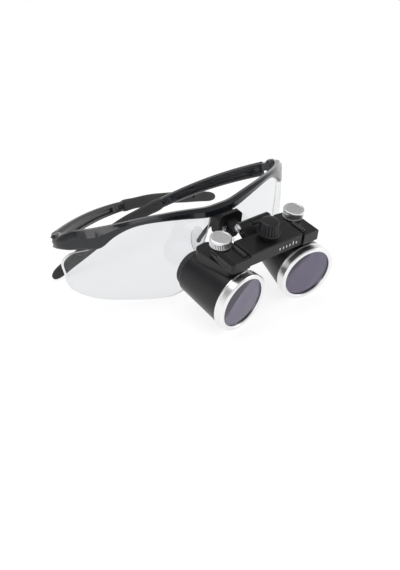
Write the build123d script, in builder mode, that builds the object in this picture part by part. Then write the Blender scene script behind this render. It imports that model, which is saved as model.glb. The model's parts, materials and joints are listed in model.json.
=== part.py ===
"""Through-the-front dental loupes on half-rim spectacles, resting with the temples folded.

Millimetres. +X is the wearer's left, +Y runs back towards the wearer, +Z is up.
The loupes stand on the rims of the objectives and the lower edges of the lenses.
"""

import os
from math import asin, atan, cos, pi, radians, sin, sqrt, tan

from build123d import *

os.makedirs("parts", exist_ok=True)

# Stance: where the crossbar lies and how far it and the spectacles lean
bar_y = -55.26
bar_pitch = 12.0
frame_lean = 9.75
bridge_z = -3.9
eyecup_to_bridge = 9.06

# Telescopes
objective_x = 19.85
objective_y = -10.05
objective_z = -23.03
toe_in = 7.7
rim_radius = 14.5
rim_length = 4.85
rim_chamfer = 0.5
rim_lip = 1.0
rim_gap = 0.15
aperture_radius = 12.25
objective_radius = 13.15
objective_edge = 2.2
objective_crown = 0.9
barrel_length = 27.0
barrel_front_radius = 14.0
barrel_rear_radius = 10.5
barrel_rear_round = 1.4
barrel_wall = 1.3
spigot_wall = 1.1
eyecup_radius = 9.0
eyecup_length = 3.0
eyepiece_radius = 7.9
eyepiece_edge = 2.6
eyepiece_hollow = 0.8
eyepiece_opening = 7.0
baffle_length = 1.2
baffle_opening = 8.0
baffle_place = 16.0

# Crossbar and its flip hinge
bar_width = 31.5
bar_depth = 12.5
bar_height = 6.4
bar_chamfer = 0.5
hinge_y = 11.0
hinge_z = 1.6
knuckle_radius = 2.4
knuckle_width = 17.2
tongue_width = 5.2
hinge_side_gap = 0.15
hinge_swing_gap = 0.4
pin_radius = 1.05
pin_head_radius = 1.9
pin_head_height = 1.1

# Rail, holder blocks, clamps and saddles
rail_depth = 8.0
rail_height = 2.4
rail_y = 0.5
rail_z = -3.4
rail_fit = 0.1
block_gap = 0.3
block_width = 10.0
block_front = -7.0
block_height = 5.6
block_drop = 0.8
block_bevel = 1.6
block_nose_radius = 1.6
slit_width = 0.6
screw_x = 21.9
screw_y = 7.7
screw_land = 3.6
screw_land_side = 1.2
stem_radius = 1.5
stem_fit = 0.05
thumb_radius = 5.0
thumb_height = 4.2
thumb_lift = 0.2
thumb_flutes = 30
thumb_flute_radius = 0.26
thumb_knurl_height = 2.7
gib_radius = 1.25
gib_length = 8.4
gib_front = -5.2
gib_inset = 1.55
saddle_width = 9.6
saddle_front = -4.6
saddle_rear = 19.0
saddle_corner = 3.2
saddle_seat = 0.05

# Centre knob
knob_y = 0.5
knob_stem_radius = 1.5
knob_neck_radius = 2.6
knob_neck_height = 1.6
knob_washer_radius = 3.6
knob_washer_height = 0.5
knob_flange_radius = 5.4
knob_flange_height = 1.0
knob_base_radius = 4.95
knob_top_radius = 4.3
knob_body_height = 5.6
knob_flutes = 20
knob_flute_radius = 0.42

# Spectacle front
base_curve = 86.7
brow_thickness = 3.2
lens_thickness = 1.6
lens_groove_fit = 0.05
ear_radius = 3.0
ear_chamfer = 1.1
lens_drop = 39.1
bridge_half_width = 6.3
bridge_foot_half_width = 7.1
bridge_neck_half_width = 5.6
bridge_drop = 12.5
pad_leg_radius = 1.0
pad_x = 10.2
pad_y = 9.6
pad_z = -14.5
pad_length = 14.0
pad_width = 7.4
pad_thickness = 1.8

# Mounting bracket on the bridge
bracket_to_bridge = 7.2
plate_width = 14.2
plate_top = -2.3
plate_height = 15.0
plate_thickness = 2.0
plate_corner = 2.4
bracket_screw_spacing = 7.3
bracket_screw_z = -9.6
bracket_screw_radius = 0.8
bracket_screw_head = 1.5
bracket_screw_head_height = 0.9
head_clearance = 0.2

# Temples
temple_hinge_x = 68.1
temple_hinge_y = 42.0
temple_offset = 3.2
temple_hinge_z = -1.2
temple_sink = 1.4
temple_chord = 135.0
temple_bow = 11.7
temple_bow_skew = 0.19
temple_drop = 23.6
fold_right = 18.7
fold_left = 11.0
roll_right = 1.5
roll_left = 1.0
pin_lean = 1.3
arm_start = 3.0
arm_end = 64.0
arm_root_thickness = 4.2
arm_root_height = 8.3
arm_tip_thickness = 3.2
arm_tip_height = 5.6
channel_depth = 1.3
channel_share = 0.42
core_length = 12.0
core_thickness = 1.6
core_height = 2.0
core_fit = 0.04
sleeve_gap = 0.1
sleeve_height = 6.6
sleeve_thickness = 3.8
sleeve_hole_radius = 0.75
sleeve_hole_from_tip = 17.0
temple_tongue_height = 4.2
ear_thickness = 1.3
temple_tongue_radius = 2.3
temple_pin_radius = 0.9
temple_pin_fit = 0.05
temple_side_gap = 0.15
rivet_radius = 1.5
rivet_proud = 0.25
rivet_from_end = 3.2

sides = {"right": -1, "left": 1}


def placed(base, origin, x_dir=(1, 0, 0), z_dir=(0, 0, 1)):
    """A plane given in the coordinates of another plane."""
    return Plane(base.location * Plane(origin=origin, x_dir=x_dir, z_dir=z_dir).location)


def side_plane(base, x=0.0, y=0.0, z=0.0):
    """A plane across the object: its x is the base plane's y and its y the base plane's z."""
    return placed(base, (x, y, z), x_dir=(0, 1, 0), z_dir=(1, 0, 0))


def profile(plane, points):
    """A closed outline of (radius, distance) points in a half plane beside the plane's z axis."""
    beside = Plane(origin=plane.origin, x_dir=plane.x_dir, z_dir=plane.x_dir.cross(plane.z_dir))
    with BuildSketch(beside) as outline:
        with BuildLine():
            Polyline(points, close=True)
        make_face()
    return outline.sketch


def dished_profile(plane, radius, flat, centre, edge):
    """Half section of a lens with one flat face and one face curving from centre to edge."""
    beside = Plane(origin=plane.origin, x_dir=plane.x_dir, z_dir=plane.x_dir.cross(plane.z_dir))
    with BuildSketch(beside) as outline:
        with BuildLine():
            TangentArc((0, centre), (radius, edge), tangent=(1, 0))
            Polyline((radius, edge), (radius, flat), (0, flat), (0, centre))
        make_face()
    return outline.sketch


def axis_of(plane):
    return Axis(plane.origin, plane.z_dir)


def export(name, part, label):
    part.part.label = label
    export_step(part.part, "parts/" + name + ".step")


# The rims' lowest points touch the ground, and everything else follows from the crossbar
pitch = radians(bar_pitch)
toe = radians(toe_in)
axis_rise = cos(toe) * sin(pitch)
rim_reach = rim_radius * sqrt(1 - axis_rise**2)
rim_centre_z = (objective_y + rim_chamfer * cos(toe)) * sin(pitch) + objective_z * cos(pitch)
bar_z = rim_reach - rim_centre_z
bar_plane = Plane(origin=(0, bar_y, bar_z), x_dir=(1, 0, 0), z_dir=(0, -sin(pitch), cos(pitch)))

scope_reach = rim_length + rim_gap + barrel_length + eyecup_length
bridge_y = objective_y + scope_reach * cos(toe) + eyecup_to_bridge
lean = radians(bar_pitch + frame_lean)
frame_plane = placed(bar_plane, (0, bridge_y, bridge_z), z_dir=(0, sin(lean), cos(lean)))


# Telescopes: rim, objective, barrel, baffle, eyecup and eyepiece, all turned on one axis
def scope_plane(side):
    """The plane of an objective's front; z runs back along the optical axis, y points down."""
    return placed(
        bar_plane,
        (side * objective_x, objective_y, objective_z),
        x_dir=(cos(toe), -side * sin(toe), 0),
        z_dir=(side * sin(toe), cos(toe), 0),
    )


barrel_start = rim_length + rim_gap
barrel_end = barrel_start + barrel_length
seat_radius = objective_radius + 0.05
objective_front = rim_lip + 0.05 - objective_crown * (aperture_radius / objective_radius) ** 2
objective_back = objective_front + objective_crown + objective_edge
spigot_front = objective_back + 0.05
eyecup_bore = eyepiece_radius + 0.05
eyepiece_front = barrel_end - 0.9
eyepiece_back = eyepiece_front + eyepiece_edge


def barrel_radius(along):
    """Outside radius of the tapering barrel at a distance along the optical axis."""
    share = (along - barrel_start) / barrel_length
    return barrel_front_radius + share * (barrel_rear_radius - barrel_front_radius)


def barrel_bore(along):
    return barrel_radius(along) - barrel_wall


for name, side in sides.items():
    scope = scope_plane(side)

    with BuildPart() as objective_ring:
        rim_outline = [
            (aperture_radius + 0.3, 0),
            (rim_radius - rim_chamfer, 0),
            (rim_radius, rim_chamfer),
            (rim_radius, rim_length - 0.2),
            (rim_radius - 0.2, rim_length),
            (seat_radius, rim_length),
            (seat_radius, rim_lip),
            (aperture_radius, rim_lip),
            (aperture_radius, 0.3),
        ]
        revolve(profile(scope, rim_outline), axis=axis_of(scope))
    export("objective_ring_" + name, objective_ring, "objective_ring")

    with BuildPart() as objective_lens:
        front_edge = objective_front + objective_crown
        lens_half = dished_profile(scope, objective_radius, objective_back, objective_front, front_edge)
        revolve(lens_half, axis=axis_of(scope))
    export("objective_lens_" + name, objective_lens, "objective_lens")

    with BuildPart() as barrel:
        shoulder = barrel_end - 3.8
        rear_start = barrel_end - barrel_rear_round
        barrel_outline = [
            (seat_radius - spigot_wall, spigot_front),
            (seat_radius - 0.05, spigot_front),
            (seat_radius - 0.05, barrel_start),
            (barrel_front_radius - 0.3, barrel_start),
            (barrel_front_radius, barrel_start + 0.3),
            (barrel_radius(rear_start), rear_start),
            (barrel_rear_radius - 0.3 * barrel_rear_round, barrel_end - 0.3 * barrel_rear_round),
            (barrel_rear_radius - barrel_rear_round, barrel_end),
            (eyepiece_radius + 0.2, barrel_end),
            (eyepiece_radius + 0.2, shoulder),
            (barrel_bore(shoulder), shoulder),
            (barrel_bore(barrel_start + 1.5), barrel_start + 1.5),
            (seat_radius - spigot_wall, barrel_start + 0.8),
        ]
        revolve(profile(scope, barrel_outline), axis=axis_of(scope))
    export("barrel_" + name, barrel, "barrel")

    with BuildPart() as baffle:
        baffle_end = baffle_place + baffle_length
        baffle_radius = barrel_bore(baffle_end) - 0.03
        baffle_outline = [
            (baffle_opening, baffle_place),
            (baffle_radius, baffle_place),
            (baffle_radius, baffle_end),
            (baffle_opening + 0.8, baffle_end),
        ]
        revolve(profile(scope, baffle_outline), axis=axis_of(scope))
    export("baffle_" + name, baffle, "baffle")

    with BuildPart() as eyecup:
        eyecup_front = barrel_end + 0.05
        eyecup_end = barrel_end + eyecup_length
        eyecup_outline = [
            (eyecup_bore, eyecup_front),
            (eyecup_radius - 0.4, eyecup_front),
            (eyecup_radius, eyecup_front + 0.4),
            (eyecup_radius, eyecup_end - 0.8),
            (eyecup_radius - 0.8, eyecup_end),
            (eyepiece_opening + 0.5, eyecup_end),
            (eyepiece_opening, eyecup_end - 0.4),
            (eyepiece_opening, eyepiece_back + 0.05),
            (eyecup_bore, eyepiece_back + 0.05),
        ]
        revolve(profile(scope, eyecup_outline), axis=axis_of(scope))
    export("eyecup_" + name, eyecup, "eyecup")

    with BuildPart() as eyepiece:
        hollow = eyepiece_back - eyepiece_hollow
        lens_half = dished_profile(scope, eyepiece_radius, eyepiece_front, hollow, eyepiece_back)
        revolve(lens_half, axis=axis_of(scope))
    export("eyepiece_lens_" + name, eyepiece, "eyepiece_lens")

# Crossbar: a block with two hinge knuckles behind, notched for the bracket's tongue
half_bar = bar_width / 2
half_depth = bar_depth / 2
notch_half = tongue_width / 2 + hinge_side_gap
notch_radius = knuckle_radius + hinge_swing_gap
with BuildPart() as crossbar:
    with BuildSketch(bar_plane.offset(-bar_height)):
        Rectangle(bar_width, bar_depth)
    extrude(amount=bar_height)
    chamfer(crossbar.edges().filter_by(axis_of(bar_plane)), bar_chamfer)
    top = crossbar.faces().sort_by(axis_of(bar_plane))[-1]
    chamfer(top.edges(), bar_chamfer)
    with BuildSketch(side_plane(bar_plane, -knuckle_width / 2)):
        with Locations((hinge_y, hinge_z)):
            Circle(knuckle_radius)
        with Locations((half_depth - 0.8, -2.2)):
            Rectangle(1.6, 3.2)
        make_hull()
    extrude(amount=knuckle_width)
    with BuildSketch(side_plane(bar_plane, -notch_half)):
        with Locations((hinge_y, hinge_z)):
            Circle(notch_radius)
        with Locations((hinge_y + 5, hinge_z)):
            Rectangle(10, 2 * notch_radius)
        with Locations((hinge_y + 5 - notch_radius, hinge_z - 5)):
            Rectangle(10, 10)
    extrude(amount=2 * notch_half, mode=Mode.SUBTRACT)
    with BuildSketch(side_plane(bar_plane, -half_bar)):
        with Locations((hinge_y, hinge_z)):
            Circle(pin_radius + 0.02)
        with Locations((rail_y, rail_z)):
            Rectangle(rail_depth + 0.04, rail_height + 0.04)
    extrude(amount=bar_width, mode=Mode.SUBTRACT)
    with BuildSketch(bar_plane.offset(rail_z)):
        with Locations((0, knob_y)):
            Circle(knob_stem_radius + stem_fit)
    extrude(amount=1 - rail_z, mode=Mode.SUBTRACT)
export("crossbar", crossbar, "crossbar")

# Rail: a flat bar through the crossbar, flush with the holder blocks when they are closed up
block_inner = half_bar + block_gap
block_outer = block_inner + block_width
with BuildPart() as slide_rail:
    with BuildSketch(side_plane(bar_plane, -block_outer)):
        with Locations((rail_y, rail_z)):
            RectangleRounded(rail_depth, rail_height, 0.3)
    extrude(amount=2 * block_outer)
export("slide_rail", slide_rail, "slide_rail")

# Flip pin: a slotted screw through the knuckles, with a round nut on its other end
pin_plane = side_plane(bar_plane, 0, hinge_y, hinge_z)
knuckle_end = knuckle_width / 2 + 0.02
pin_end = knuckle_end + pin_head_height
with BuildPart() as flip_pin:
    pin_outline = [
        (0, -pin_end),
        (pin_head_radius - 0.3, -pin_end),
        (pin_head_radius, 0.3 - pin_end),
        (pin_head_radius, -knuckle_end),
        (pin_radius, -knuckle_end),
        (pin_radius, knuckle_end),
        (pin_head_radius, knuckle_end),
        (pin_head_radius, pin_end - 0.3),
        (pin_head_radius - 0.3, pin_end),
        (0, pin_end),
    ]
    revolve(profile(pin_plane, pin_outline), axis=axis_of(pin_plane))
    with BuildSketch(pin_plane.offset(-pin_end)):
        Rectangle(2 * pin_head_radius + 1, 0.5, rotation=35)
    extrude(amount=0.5, mode=Mode.SUBTRACT)
export("flip_pin", flip_pin, "flip_pin")

# Centre knob: fluted and tapered on a flange, its stem clamping the rail in the crossbar
with BuildPart() as knob_washer:
    with BuildSketch(bar_plane.offset(0.02)):
        with Locations((0, knob_y)):
            Circle(knob_washer_radius)
            Circle(knob_stem_radius + 0.2, mode=Mode.SUBTRACT)
    extrude(amount=knob_washer_height)
export("knob_washer", knob_washer, "knob_washer")

knob_plane = placed(bar_plane, (0, knob_y, 0))
neck_start = knob_washer_height + 0.1
flange_start = neck_start + knob_neck_height
body_start = flange_start + knob_flange_height
knob_top = body_start + knob_body_height
stem_end = rail_z + rail_height / 2 + 0.08
knob_taper = atan((knob_base_radius - knob_top_radius) / knob_body_height)
with BuildPart() as centre_knob:
    knob_outline = [
        (0, stem_end),
        (knob_stem_radius, stem_end),
        (knob_stem_radius, neck_start),
        (knob_neck_radius, neck_start),
        (knob_neck_radius, flange_start),
        (knob_flange_radius - 0.3, flange_start),
        (knob_flange_radius, flange_start + 0.3),
        (knob_flange_radius, body_start - 0.2),
        (knob_flange_radius - 0.2, body_start),
        (knob_base_radius, body_start),
        (knob_top_radius, knob_top - 0.6),
        (knob_top_radius - 0.6, knob_top),
        (0, knob_top + 0.1),
    ]
    revolve(profile(knob_plane, knob_outline), axis=axis_of(knob_plane))
    for flute in range(knob_flutes):
        turn = 2 * pi * flute / knob_flutes
        foot = ((knob_base_radius + 0.1) * cos(turn), (knob_base_radius + 0.1) * sin(turn))
        inward = (-cos(turn) * sin(knob_taper), -sin(turn) * sin(knob_taper), cos(knob_taper))
        along = (-sin(turn), cos(turn), 0)
        with BuildSketch(placed(knob_plane, (*foot, body_start + 0.2), along, inward)):
            Circle(knob_flute_radius)
        extrude(amount=knob_body_height + 1, mode=Mode.SUBTRACT)
export("centre_knob", centre_knob, "centre_knob")

# Each holder block slides on the rail; the thumb screw pinches its slit jaws together
block_top = -block_drop
block_base = block_top - block_height
block_rear = screw_y + screw_land_side
channel_height = rail_height + 2 * rail_fit
channel_depth_y = rail_depth + 2 * rail_fit
rail_back = rail_y + rail_depth / 2
thumb_bottom = block_top + thumb_lift
thumb_top = thumb_bottom + thumb_height
for name, side in sides.items():
    with BuildPart() as block:
        with BuildSketch(bar_plane.offset(block_base)):
            with BuildLine():
                Polyline(
                    (side * block_inner, block_rear),
                    (side * block_inner, block_front),
                    (side * (block_outer - block_nose_radius), block_front),
                )
                RadiusArc(
                    (side * (block_outer - block_nose_radius), block_front),
                    (side * block_outer, block_front + block_nose_radius),
                    -side * block_nose_radius,
                )
                Line(
                    (side * block_outer, block_front + block_nose_radius),
                    (side * block_outer, block_rear),
                )
                ThreePointArc(
                    (side * block_outer, block_rear),
                    (side * (block_inner + block_outer) / 2, screw_y + screw_land),
                    (side * block_inner, block_rear),
                )
            make_face()
        extrude(amount=block_height)
        edge = placed(bar_plane, (side * block_outer, 2 * screw_y, block_top), z_dir=(0, -1, 0))
        with BuildSketch(edge):
            with BuildLine():
                Polyline(
                    (side * 0.1, 0.1),
                    (-side * block_bevel, 0.1),
                    (side * 0.1, -block_bevel),
                    close=True,
                )
            make_face()
        extrude(amount=4 * screw_y, mode=Mode.SUBTRACT)
        with BuildSketch(side_plane(bar_plane, side * (block_inner - 1))):
            with Locations((rail_y, rail_z)):
                Rectangle(channel_depth_y, channel_height)
            with Locations((rail_back + 15, rail_z)):
                Rectangle(30, slit_width)
        extrude(amount=side * (block_width + 2), mode=Mode.SUBTRACT)
        with BuildSketch(bar_plane.offset(block_base + 1)):
            with Locations((side * screw_x, screw_y)):
                Circle(stem_radius + stem_fit)
        extrude(amount=block_height, mode=Mode.SUBTRACT)
        with BuildSketch(placed(bar_plane, (0, gib_front, 0), z_dir=(0, 1, 0))):
            with Locations((side * (block_inner + gib_inset), block_drop)):
                Circle(gib_radius + 0.02)
        extrude(amount=gib_length + 0.05, mode=Mode.SUBTRACT)
    export("holder_block_" + name, block, "holder_block")

    with BuildPart() as gib:
        with BuildSketch(placed(bar_plane, (0, gib_front, 0), z_dir=(0, 1, 0))):
            with Locations((side * (block_inner + gib_inset), block_drop)):
                Circle(gib_radius)
        extrude(amount=gib_length)
        fillet(gib.faces().sort_by(Axis.Y)[0].edges(), gib_radius * 0.8)
    export("clamp_gib_" + name, gib, "clamp_gib")

    thumb_plane = placed(bar_plane, (side * screw_x, screw_y, 0))
    with BuildPart() as thumb_screw:
        thumb_outline = [
            (0, block_base + 1.3),
            (stem_radius - 0.3, block_base + 1.3),
            (stem_radius, block_base + 1.6),
            (stem_radius, thumb_bottom),
            (thumb_radius - 0.4, thumb_bottom),
            (thumb_radius, thumb_bottom + 0.4),
            (thumb_radius, thumb_top - 0.3),
            (thumb_radius - 0.3, thumb_top),
            (thumb_radius - 0.8, thumb_top),
            (thumb_radius - 1.1, thumb_top - 0.15),
            (0, thumb_top - 0.15),
        ]
        revolve(profile(thumb_plane, thumb_outline), axis=axis_of(thumb_plane))
        with BuildSketch(placed(thumb_plane, (0, 0, thumb_bottom - 0.1))):
            with PolarLocations(thumb_radius + 0.08, thumb_flutes):
                Circle(thumb_flute_radius)
        extrude(amount=thumb_knurl_height, mode=Mode.SUBTRACT)
    export("thumb_screw_" + name, thumb_screw, "thumb_screw")

    # Saddle: fills the wedge between the block and the barrel, parallel to the barrel
    scope = scope_plane(side)
    saddle_depth = saddle_rear - saddle_front
    saddle_middle = (saddle_rear + saddle_front) / 2
    saddle_plane = placed(
        bar_plane,
        (side * (objective_x + (saddle_middle - objective_y) * tan(toe)), saddle_middle, 0),
        x_dir=(cos(toe), -side * sin(toe), 0),
    )
    with BuildPart() as saddle:
        with BuildSketch(saddle_plane.offset(block_base - saddle_seat)):
            RectangleRounded(saddle_width, saddle_depth, saddle_corner)
        extrude(amount=-12)
        cone_outline = [
            (0, -20),
            (barrel_radius(-20) + saddle_seat, -20),
            (barrel_radius(60) + saddle_seat, 60),
            (0, 60),
        ]
        revolve(profile(scope, cone_outline), axis=axis_of(scope), mode=Mode.SUBTRACT)
    export("saddle_" + name, saddle, "saddle")

# Spectacle front: the brow bar follows the lens curve and turns back to the hinge ears
brow_stations = [
    (9, -2.2, 3.0),
    (18, -0.3, 4.3),
    (27, 1.3, 5.1),
    (36, 2.3, 5.5),
    (44, 1.8, 5.35),
    (49.5, -0.2, 5.0),
    (53.5, -2.8, 4.75),
    (57.5, -5.5, 4.5),
    (61.5, -5.3, 4.3),
]
corner_stations = [
    (65.8, 30.2, 50, -4.9, 4.2, 3.6),
    (69.5, 34.6, 60, -4.5, 3.4, 4.0),
    (71.1, 38.4, 76, -4.2, 2.7, 4.6),
    (71.1, 42.0, 90, -4.1, 2.2, 5.0),
]


def curve_depth(x):
    """How far the lens curve has fallen back at a distance from the middle."""
    return base_curve - sqrt(base_curve**2 - x**2)


def brow_section(x, y, turn, low, high, thickness):
    """Section across the brow bar, ridged along its front; turn is its swing from the middle."""
    across = placed(
        frame_plane,
        (x, y, 0),
        x_dir=(-sin(turn), cos(turn), 0),
        z_dir=(cos(turn), sin(turn), 0),
    )
    ridge = low + 0.6 * (high - low)
    shoulder = high - 0.1 - 0.8 * (thickness - brow_thickness)
    with BuildSketch(across) as outline:
        with BuildLine():
            Polyline(
                (thickness, low + 0.3),
                (thickness, high - 0.4),
                (thickness - 0.4, high),
                (0.3 * thickness, shoulder),
                (-0.2, ridge),
                (0.3, low + 0.6),
                (0.8, low),
                (thickness - 0.3, low),
                close=True,
            )
        make_face()
    return outline.sketch


def lens_outline(side, grown=0.0):
    """Front view of one lens; its upper edge stands in the brow bar's groove."""
    front_view = placed(frame_plane, (0, -5, 0), z_dir=(0, -1, 0))
    with BuildSketch(front_view) as outline:
        with BuildLine():
            Spline(
                (side * (6.4 - grown), -1.2 + grown),
                (side * 18, 1.4 + grown),
                (side * 36, 3.8 + grown),
                (side * 46, 2.9 + grown),
                (side * 54, -1.4 + grown),
                (side * 60, -5.6 + grown),
                (side * 67, -7.4 + grown),
            )
            Spline(
                (side * 67, -7.4 + grown),
                (side * (69.3 + grown), -10.5),
                (side * 69.0, -17.7),
                (side * 66.4, -27.5),
                (side * 60, -32.4),
                (side * 46.5, -36.2),
                (side * 35, 0.7 - lens_drop),
                (side * 25.5, -lens_drop),
                (side * 20.3, 2.2 - lens_drop),
                (side * 15.8, -27),
                (side * (12.0 - grown), -15.5),
                (side * (8.6 - grown), -8.3),
                (side * (6.4 - grown), -1.2 + grown),
            )
        make_face()
    return outline.sketch


pin_height = temple_tongue_height / 2 + temple_side_gap + ear_thickness
ear_side = pin_height - ear_chamfer
rolls = {"right": radians(roll_right), "left": radians(roll_left)}
folds = {"right": radians(fold_right), "left": radians(fold_left)}


def ear_plane(name):
    """The plane of a temple hinge, square to its pin; x runs to the wearer's left.

    The pin leans so that the upper temple rises and the lower one sinks as they open.
    """
    side = sides[name]
    hinge = (side * temple_hinge_x, temple_hinge_y, temple_hinge_z)
    rise = tan(rolls[name]) - tan(radians(pin_lean)) * tan(folds[name])
    slope = side * tan(radians(pin_lean))
    return placed(frame_plane, hinge, x_dir=(1, 0, rise), z_dir=(-rise, slope, 1))


stations = [(0, 0, 0, -2.7, 2.7, brow_thickness)]
for x, low, high in brow_stations:
    stations.append((x, curve_depth(x), asin(x / base_curve), low, high, brow_thickness))
for x, y, turn, low, high, thickness in corner_stations:
    stations.append((x, y, radians(turn), low, high, thickness))
mirrored = [(-x, y, -turn, low, high, thick) for x, y, turn, low, high, thick in stations[:0:-1]]

lens_front = base_curve - 0.8
lens_back = lens_front - lens_thickness
centre = placed(frame_plane, (0, base_curve, 0)).origin
with BuildPart() as brow_bar:
    loft([brow_section(*station) for station in mirrored + stations])
    for name, side in sides.items():
        ears = ear_plane(name)
        ear_profile = [
            (0, -pin_height),
            (ear_radius - ear_chamfer, -pin_height),
            (ear_radius, -ear_side),
            (ear_radius, ear_side),
            (ear_radius - ear_chamfer, pin_height),
            (0, pin_height),
        ]
        revolve(profile(ears, ear_profile), axis=axis_of(ears))
        with BuildSketch(ears.offset(-ear_side)):
            Circle(ear_radius - 0.05)
            with Locations((side * 0.2, -5.2)):
                Rectangle(3, 2)
            make_hull()
        extrude(amount=2 * ear_side)
        with BuildSketch(ears.offset(-temple_tongue_height / 2 - temple_side_gap)):
            Circle(temple_tongue_radius + 0.25)
            with Locations((side * 5.5, 3.5)):
                Rectangle(2, 2)
            make_hull()
            with Locations((0, 5)):
                Rectangle(12, 10)
            with Locations((-side * 5, 5 - temple_tongue_radius - 0.25)):
                Rectangle(10, 10)
        extrude(amount=temple_tongue_height + 2 * temple_side_gap, mode=Mode.SUBTRACT)
        with BuildSketch(ears.offset(-20)):
            Circle(temple_pin_radius + 0.02)
        extrude(amount=40, mode=Mode.SUBTRACT)
        groove = extrude(lens_outline(side, lens_groove_fit), amount=-40, mode=Mode.PRIVATE)
        groove &= Pos(centre) * Sphere(lens_front + lens_groove_fit, mode=Mode.PRIVATE)
        groove -= Pos(centre) * Sphere(lens_back - lens_groove_fit, mode=Mode.PRIVATE)
        add(groove, mode=Mode.SUBTRACT)
export("brow_bar", brow_bar, "brow_bar")

for name, side in sides.items():
    with BuildPart() as lens:
        extrude(lens_outline(side), amount=-40)
        with Locations(centre):
            Sphere(lens_front, mode=Mode.INTERSECT)
            Sphere(lens_back, mode=Mode.SUBTRACT)
    export("lens_" + name, lens, "lens")

    ears = ear_plane(name)
    with BuildPart() as temple_pin:
        with BuildSketch(ears.offset(-pin_height)):
            Circle(temple_pin_radius)
        extrude(amount=2 * pin_height)
    export("temple_pin_" + name, temple_pin, "temple_pin")

# Bridge: a wedge between the leaning lenses and the upright bracket, with legs for the pads
pad_planes = {}
for side in sides.values():
    pad_planes[side] = placed(
        frame_plane,
        (side * pad_x, pad_y, pad_z),
        x_dir=(0.66, side * 0.62, 0),
        z_dir=(-side * 0.62, 0.66, -0.12),
    )
bracket_y = bridge_y - bracket_to_bridge
bridge_face = bracket_y + plate_thickness
front_view = placed(frame_plane, (0, 0, 0), z_dir=(0, -1, 0))
bridge_top = -2.1
with BuildPart() as nose_bridge:
    with BuildSketch(front_view.offset(-0.7)):
        with BuildLine():
            Polyline(
                (-bridge_half_width, bridge_top),
                (bridge_half_width, bridge_top),
                (bridge_foot_half_width, 3 - bridge_drop),
                (bridge_foot_half_width - 2.4, -bridge_drop),
                (2.4 - bridge_foot_half_width, -bridge_drop),
                (-bridge_foot_half_width, 3 - bridge_drop),
                close=True,
            )
        make_face()
    extrude(amount=9)
    with BuildSketch(front_view.offset(-brow_thickness)):
        with BuildLine():
            Polyline(
                (-bridge_neck_half_width, bridge_top - 0.2),
                (bridge_neck_half_width, bridge_top - 0.2),
                (bridge_neck_half_width, 2.4 - bridge_drop),
                (-bridge_neck_half_width, 2.4 - bridge_drop),
                close=True,
            )
        make_face()
    extrude(amount=brow_thickness)
    with BuildSketch(placed(bar_plane, (0, bridge_face, 0), z_dir=(0, 1, 0))):
        Rectangle(60, 60)
    extrude(amount=-30, mode=Mode.SUBTRACT)
    for side in sides.values():
        with BuildLine() as leg_path:
            Spline(
                placed(frame_plane, (side * 4.2, 2.4, -6.4)).origin,
                placed(frame_plane, (side * pad_x, pad_y, pad_z)).origin,
                tangents=(frame_plane.y_dir, pad_planes[side].z_dir),
                tangent_scalars=(1.0, 0.9),
            )
        with BuildSketch(Plane(origin=leg_path.line @ 0, z_dir=leg_path.line % 0)):
            Circle(pad_leg_radius)
        sweep(path=leg_path.line)
    with BuildSketch(placed(bar_plane, (0, bridge_face, bracket_screw_z), z_dir=(0, -1, 0))):
        with GridLocations(bracket_screw_spacing, 1, 2, 1):
            Circle(bracket_screw_radius + 0.02)
    extrude(amount=-3.2, mode=Mode.SUBTRACT)
    add(brow_bar.part, mode=Mode.SUBTRACT)
export("nose_bridge", nose_bridge, "nose_bridge")


# Nose pads, each standing square to the end of its leg
for name, side in sides.items():
    with BuildPart() as nose_pad:
        with BuildSketch(pad_planes[side]):
            Ellipse(pad_width / 2, pad_length / 2)
        extrude(amount=pad_thickness)
        fillet(nose_pad.faces().sort_by(axis_of(pad_planes[side]))[-1].edges(), pad_thickness * 0.5)
    export("nose_pad_" + name, nose_pad, "nose_pad")

# Bracket: screwed to the bridge, its tongue fills the notch between the crossbar's knuckles
with BuildPart() as mount_bracket:
    with BuildSketch(side_plane(bar_plane, -tongue_width / 2)):
        with BuildLine():
            Polyline(
                (hinge_y + 1.7, hinge_z + 1.7),
                (hinge_y + 5.2, hinge_z - 3.4),
                (bracket_y - 3.4, plate_top - 4.4),
                (bracket_y, plate_top - 3.6),
                (bridge_face - 0.5, plate_top - 3.6),
                (bridge_face - 0.5, plate_top - 9.4),
                (bracket_y - 1.6, plate_top - 9.0),
                (hinge_y + 2.4, hinge_z - 6.2),
                (hinge_y - 1.6, hinge_z - 1.8),
                close=True,
            )
        make_face()
        with Locations((hinge_y, hinge_z)):
            Circle(knuckle_radius)
    extrude(amount=tongue_width)
    plate_middle = (0, bridge_face, plate_top - plate_height / 2)
    with BuildSketch(placed(bar_plane, plate_middle, z_dir=(0, -1, 0))) as plate:
        Rectangle(plate_width, plate_height)
        chamfer(plate.vertices(), plate_corner)
    extrude(amount=plate_thickness)
    with BuildSketch(side_plane(bar_plane, -tongue_width)):
        with Locations((hinge_y, hinge_z)):
            Circle(pin_radius + stem_fit)
    extrude(amount=2 * tongue_width, mode=Mode.SUBTRACT)
    with BuildSketch(placed(bar_plane, (0, bridge_face + 1, bracket_screw_z), z_dir=(0, -1, 0))):
        with GridLocations(bracket_screw_spacing, 1, 2, 1):
            Circle(bracket_screw_radius + 0.02)
    extrude(amount=plate_thickness + 2, mode=Mode.SUBTRACT)
    with BuildSketch(placed(bar_plane, (0, bracket_y, bracket_screw_z), z_dir=(0, -1, 0))):
        with GridLocations(bracket_screw_spacing, 1, 2, 1):
            Circle(bracket_screw_head + head_clearance)
    extrude(amount=bracket_y - hinge_y, mode=Mode.SUBTRACT)
export("mount_bracket", mount_bracket, "mount_bracket")

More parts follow.
